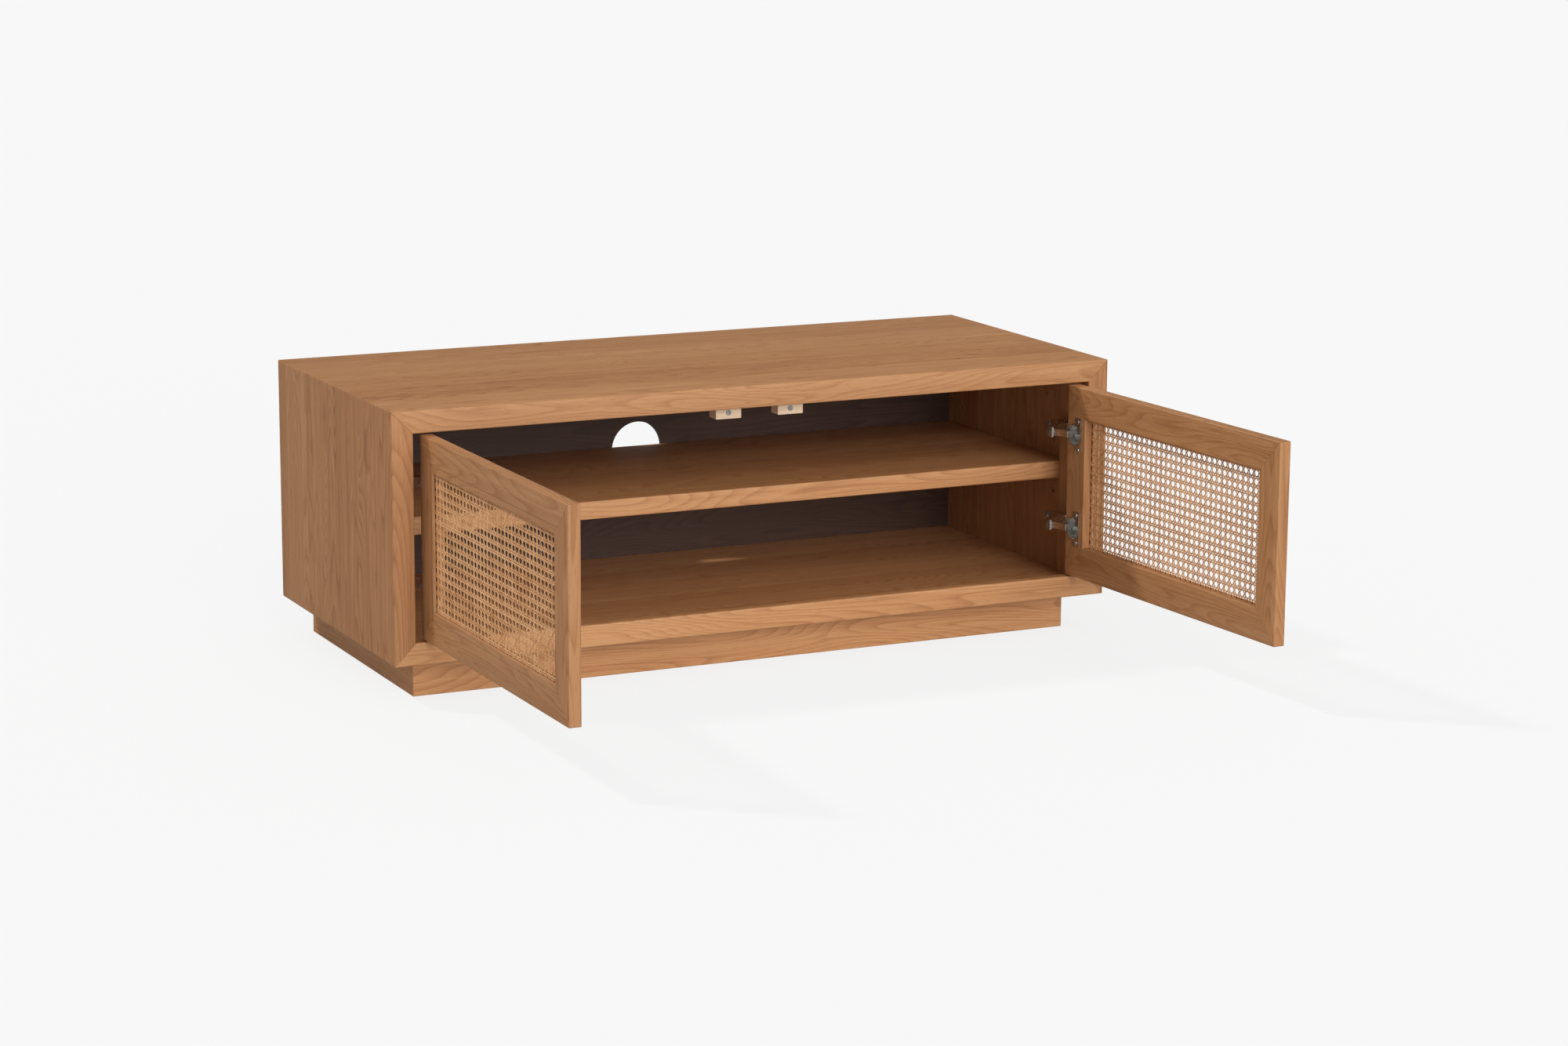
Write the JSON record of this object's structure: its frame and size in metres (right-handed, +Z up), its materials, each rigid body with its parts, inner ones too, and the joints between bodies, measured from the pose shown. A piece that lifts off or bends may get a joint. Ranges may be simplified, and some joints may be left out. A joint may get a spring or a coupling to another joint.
{
  "type": "media cabinet",
  "caption": "Low, wide oak media cabinet: mitred carcass on a recessed plinth, inner shelf, cable hole, and inset cane doors on concealed hinges.",
  "frame": {"origin": "on the floor under the middle of the carcass, on the underside of the plinth stretcher", "axes": "+X to the cabinet's right seen from the front, +Y to its back, +Z up; the doors stand open at rest"},
  "size_m": [1.2, 1.0727, 0.44],
  "materials": {
    "oak": "warm mid-brown oak, satin lacquer",
    "dark_oak": "dark brown oak veneer, satin",
    "cane": "natural woven cane, open weave",
    "nickel": "nickel plate, bright",
    "steel": "zinc plate, dull"
  },
  "bodies": {
    "cabinet": {"top": "oak", "right_side": "oak", "bottom": "oak", "left_side": "oak", "back_panel": "dark_oak", "shelf": "oak", "shelf_pin_left_front": "steel", "shelf_pin_left_back": "steel", "shelf_pin_right_front": "steel", "shelf_pin_right_back": "steel", "plinth_back": "oak", "plinth_right": "oak", "plinth_front": "oak", "plinth_left": "oak", "plinth_stretcher": "oak", "catch_block_left": "oak", "catch_magnet_left": "steel", "catch_block_right": "oak", "catch_magnet_right": "steel", "hinge_plate_left_upper": "nickel", "hinge_arm_left_upper": "nickel", "hinge_pin_left_upper": "steel", "hinge_plate_left_lower": "nickel", "hinge_arm_left_lower": "nickel", "hinge_pin_left_lower": "steel", "hinge_plate_right_upper": "nickel", "hinge_arm_right_upper": "nickel", "hinge_pin_right_upper": "steel", "hinge_plate_right_lower": "nickel", "hinge_arm_right_lower": "nickel", "hinge_pin_right_lower": "steel"},
    "left_door": {"left_door_top_rail": "oak", "left_door_hinge_stile": "oak", "left_door_bottom_rail": "oak", "left_door_free_stile": "oak", "left_door_top_bead": "oak", "left_door_hinge_bead": "oak", "left_door_bottom_bead": "oak", "left_door_free_bead": "oak", "left_door_cane": "cane", "left_door_strike": "steel", "hinge_cup_left_upper": "nickel", "hinge_cup_left_lower": "nickel"},
    "right_door": {"right_door_top_rail": "oak", "right_door_hinge_stile": "oak", "right_door_bottom_rail": "oak", "right_door_free_stile": "oak", "right_door_top_bead": "oak", "right_door_hinge_bead": "oak", "right_door_bottom_bead": "oak", "right_door_free_bead": "oak", "right_door_cane": "cane", "right_door_strike": "steel", "hinge_cup_right_upper": "nickel", "hinge_cup_right_lower": "nickel"},
    "left_upper_link": {"hinge_link_left_upper": "nickel"},
    "left_lower_link": {"hinge_link_left_lower": "nickel"},
    "right_upper_link": {"hinge_link_right_upper": "nickel"},
    "right_lower_link": {"hinge_link_right_lower": "nickel"}
  },
  "joints": [
    {"name": "left_door_hinge", "type": "hinge", "parent": "cabinet", "child": "left_door", "pos_m": [-0.554, -0.26, 0.25], "axis": [0, 0, 1], "range_deg": [-10, 90]},
    {"name": "right_door_hinge", "type": "hinge", "parent": "cabinet", "child": "right_door", "pos_m": [0.554, -0.26, 0.25], "axis": [0, 0, 1], "range_deg": [-93, 7]},
    {"name": "left_upper_link_pivot", "type": "hinge", "parent": "cabinet", "child": "left_upper_link", "pos_m": [-0.516, -0.2345, 0.325], "axis": [0, 0, 1], "range_deg": [-45, 5]},
    {"name": "left_lower_link_pivot", "type": "hinge", "parent": "cabinet", "child": "left_lower_link", "pos_m": [-0.516, -0.2345, 0.175], "axis": [0, 0, 1], "range_deg": [-45, 5]},
    {"name": "right_upper_link_pivot", "type": "hinge", "parent": "cabinet", "child": "right_upper_link", "pos_m": [0.516, -0.2345, 0.325], "axis": [0, 0, 1], "range_deg": [-3.5, 46.5]},
    {"name": "right_lower_link_pivot", "type": "hinge", "parent": "cabinet", "child": "right_lower_link", "pos_m": [0.516, -0.2345, 0.175], "axis": [0, 0, 1], "range_deg": [-3.5, 46.5]}
  ],
  "couplings": [
    {"joint": "left_upper_link_pivot", "follows": "left_door_hinge", "ratio": -0.5},
    {"joint": "left_lower_link_pivot", "follows": "left_door_hinge", "ratio": -0.5},
    {"joint": "right_upper_link_pivot", "follows": "right_door_hinge", "ratio": -0.5},
    {"joint": "right_lower_link_pivot", "follows": "right_door_hinge", "ratio": -0.5}
  ]
}
